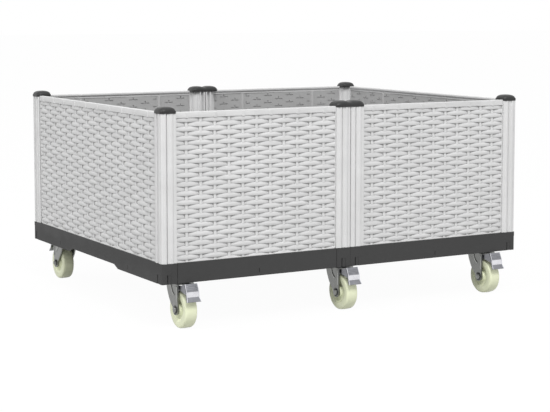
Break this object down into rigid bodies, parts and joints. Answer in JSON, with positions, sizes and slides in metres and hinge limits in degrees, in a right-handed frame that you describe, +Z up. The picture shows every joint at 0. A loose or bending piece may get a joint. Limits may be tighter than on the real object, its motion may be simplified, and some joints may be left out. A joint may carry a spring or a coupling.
{
  "type": "rolling planter",
  "caption": "Open rectangular planter of woven-look plastic panels between capped corner posts, on joined base trays with swivel castors that have brake pedals.",
  "frame": {"origin": "on the floor, under the centre of the footprint; the wheels touch z = 0", "axes": "+X along the long front from left to right, +Y from the front to the back, +Z up"},
  "size_m": [0.7998, 0.6726, 0.406],
  "materials": {
    "woven_polypropylene": "light grey moulded polypropylene with a rattan-look relief, satin",
    "grey_polypropylene": "light grey moulded polypropylene, satin",
    "black_polypropylene": "near-black moulded polypropylene, fine grained",
    "zinc_plated_steel": "pressed steel, bright zinc plated",
    "cream_nylon": "natural cream nylon, moulded"
  },
  "bodies": {
    "planter": {"left_base_tray": "black_polypropylene", "right_base_tray": "black_polypropylene", "front_left_panel": "woven_polypropylene", "front_right_panel": "woven_polypropylene", "back_left_panel": "woven_polypropylene", "back_right_panel": "woven_polypropylene", "left_side_panel": "woven_polypropylene", "right_side_panel": "woven_polypropylene", "front_left_corner_post": "grey_polypropylene", "front_left_middle_post": "grey_polypropylene", "front_right_corner_post": "grey_polypropylene", "front_right_middle_post": "grey_polypropylene", "back_left_corner_post": "grey_polypropylene", "back_left_middle_post": "grey_polypropylene", "back_right_corner_post": "grey_polypropylene", "back_right_middle_post": "grey_polypropylene", "front_left_cap": "black_polypropylene", "front_right_cap": "black_polypropylene", "front_middle_cap": "black_polypropylene", "back_left_cap": "black_polypropylene", "back_right_cap": "black_polypropylene", "back_middle_cap": "black_polypropylene", "front_left_castor_plate": "zinc_plated_steel", "front_left_king_pin": "zinc_plated_steel", "front_middle_castor_plate": "zinc_plated_steel", "front_middle_king_pin": "zinc_plated_steel", "front_right_castor_plate": "zinc_plated_steel", "front_right_king_pin": "zinc_plated_steel", "back_left_castor_plate": "zinc_plated_steel", "back_left_king_pin": "zinc_plated_steel", "back_middle_castor_plate": "zinc_plated_steel", "back_middle_king_pin": "zinc_plated_steel", "back_right_castor_plate": "zinc_plated_steel", "back_right_king_pin": "zinc_plated_steel"},
    "front_left_swivel": {"front_left_fork": "zinc_plated_steel", "front_left_axle_bolt": "zinc_plated_steel"},
    "front_left_rolling_wheel": {"front_left_wheel": "cream_nylon"},
    "front_left_brake": {"front_left_brake_pedal": "zinc_plated_steel"},
    "front_middle_swivel": {"front_middle_fork": "zinc_plated_steel", "front_middle_axle_bolt": "zinc_plated_steel"},
    "front_middle_rolling_wheel": {"front_middle_wheel": "cream_nylon"},
    "front_middle_brake": {"front_middle_brake_pedal": "zinc_plated_steel"},
    "front_right_swivel": {"front_right_fork": "zinc_plated_steel", "front_right_axle_bolt": "zinc_plated_steel"},
    "front_right_rolling_wheel": {"front_right_wheel": "cream_nylon"},
    "front_right_brake": {"front_right_brake_pedal": "zinc_plated_steel"},
    "back_left_swivel": {"back_left_fork": "zinc_plated_steel", "back_left_axle_bolt": "zinc_plated_steel"},
    "back_left_rolling_wheel": {"back_left_wheel": "cream_nylon"},
    "back_left_brake": {"back_left_brake_pedal": "zinc_plated_steel"},
    "back_middle_swivel": {"back_middle_fork": "zinc_plated_steel", "back_middle_axle_bolt": "zinc_plated_steel"},
    "back_middle_rolling_wheel": {"back_middle_wheel": "cream_nylon"},
    "back_middle_brake": {"back_middle_brake_pedal": "zinc_plated_steel"},
    "back_right_swivel": {"back_right_fork": "zinc_plated_steel", "back_right_axle_bolt": "zinc_plated_steel"},
    "back_right_rolling_wheel": {"back_right_wheel": "cream_nylon"},
    "back_right_brake": {"back_right_brake_pedal": "zinc_plated_steel"}
  },
  "joints": [
    {"name": "front_left_swivel_turn", "type": "hinge", "parent": "planter", "child": "front_left_swivel", "pos_m": [-0.345, -0.2739, 0.09], "axis": [0, 0, 1], "continuous": true},
    {"name": "front_left_wheel_spin", "type": "hinge", "parent": "front_left_swivel", "child": "front_left_rolling_wheel", "pos_m": [-0.345, -0.2923, 0.03457], "axis": [1, 0, 0], "continuous": true},
    {"name": "front_left_brake_press", "type": "hinge", "parent": "front_left_swivel", "child": "front_left_brake", "pos_m": [-0.345, -0.2969, 0.0765], "axis": [1, 0, 0], "range_deg": [0, 15]},
    {"name": "front_middle_swivel_turn", "type": "hinge", "parent": "planter", "child": "front_middle_swivel", "pos_m": [0, -0.2739, 0.09], "axis": [0, 0, 1], "continuous": true},
    {"name": "front_middle_wheel_spin", "type": "hinge", "parent": "front_middle_swivel", "child": "front_middle_rolling_wheel", "pos_m": [0, -0.2923, 0.03457], "axis": [1, 0, 0], "continuous": true},
    {"name": "front_middle_brake_press", "type": "hinge", "parent": "front_middle_swivel", "child": "front_middle_brake", "pos_m": [0, -0.2969, 0.0765], "axis": [1, 0, 0], "range_deg": [0, 15]},
    {"name": "front_right_swivel_turn", "type": "hinge", "parent": "planter", "child": "front_right_swivel", "pos_m": [0.345, -0.2739, 0.09], "axis": [0, 0, 1], "continuous": true},
    {"name": "front_right_wheel_spin", "type": "hinge", "parent": "front_right_swivel", "child": "front_right_rolling_wheel", "pos_m": [0.345, -0.2923, 0.03457], "axis": [1, 0, 0], "continuous": true},
    {"name": "front_right_brake_press", "type": "hinge", "parent": "front_right_swivel", "child": "front_right_brake", "pos_m": [0.345, -0.2969, 0.0765], "axis": [1, 0, 0], "range_deg": [0, 15]},
    {"name": "back_left_swivel_turn", "type": "hinge", "parent": "planter", "child": "back_left_swivel", "pos_m": [-0.345, 0.2739, 0.09], "axis": [0, 0, 1], "continuous": true},
    {"name": "back_left_wheel_spin", "type": "hinge", "parent": "back_left_swivel", "child": "back_left_rolling_wheel", "pos_m": [-0.345, 0.2923, 0.03457], "axis": [1, 0, 0], "continuous": true},
    {"name": "back_left_brake_press", "type": "hinge", "parent": "back_left_swivel", "child": "back_left_brake", "pos_m": [-0.345, 0.2969, 0.0765], "axis": [-1, 0, 0], "range_deg": [0, 15]},
    {"name": "back_middle_swivel_turn", "type": "hinge", "parent": "planter", "child": "back_middle_swivel", "pos_m": [0, 0.2739, 0.09], "axis": [0, 0, 1], "continuous": true},
    {"name": "back_middle_wheel_spin", "type": "hinge", "parent": "back_middle_swivel", "child": "back_middle_rolling_wheel", "pos_m": [0, 0.2923, 0.03457], "axis": [1, 0, 0], "continuous": true},
    {"name": "back_middle_brake_press", "type": "hinge", "parent": "back_middle_swivel", "child": "back_middle_brake", "pos_m": [0, 0.2969, 0.0765], "axis": [-1, 0, 0], "range_deg": [0, 15]},
    {"name": "back_right_swivel_turn", "type": "hinge", "parent": "planter", "child": "back_right_swivel", "pos_m": [0.345, 0.2739, 0.09], "axis": [0, 0, 1], "continuous": true},
    {"name": "back_right_wheel_spin", "type": "hinge", "parent": "back_right_swivel", "child": "back_right_rolling_wheel", "pos_m": [0.345, 0.2923, 0.03457], "axis": [1, 0, 0], "continuous": true},
    {"name": "back_right_brake_press", "type": "hinge", "parent": "back_right_swivel", "child": "back_right_brake", "pos_m": [0.345, 0.2969, 0.0765], "axis": [-1, 0, 0], "range_deg": [0, 15]}
  ]
}
